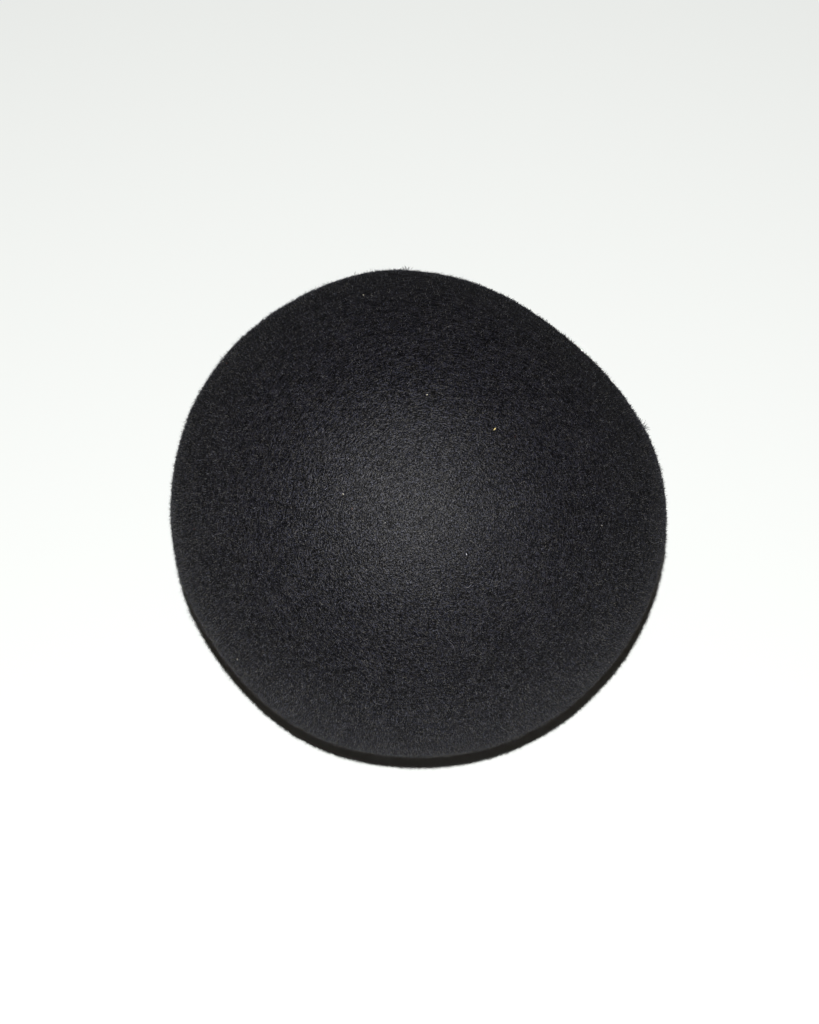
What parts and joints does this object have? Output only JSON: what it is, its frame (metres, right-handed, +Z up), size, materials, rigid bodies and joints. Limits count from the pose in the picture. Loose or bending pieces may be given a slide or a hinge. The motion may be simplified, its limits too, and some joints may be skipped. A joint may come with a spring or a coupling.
{
  "type": "dryer ball",
  "caption": "Felted wool ball that tumbles with the washing in a clothes dryer, to part and soften it; black felt skin over undyed wool wraps.",
  "frame": {"origin": "on the flat surface the ball rests on, under the middle of its plan", "axes": "+Z up, away from that surface; +X towards the ball's full side, along its longest extent; +Y away from the side it is usually seen from"},
  "size_m": [0.0752, 0.0738, 0.0731],
  "materials": {
    "core_wool": "matte",
    "natural_wool": "matte",
    "black_felt": "matte"
  },
  "bodies": {
    "root": {"starter_core": "core_wool", "inner_wool_wrap": "natural_wool", "middle_wool_wrap": "natural_wool", "outer_wool_wrap": "natural_wool", "black_felt_skin": "black_felt"}
  },
  "joints": []
}
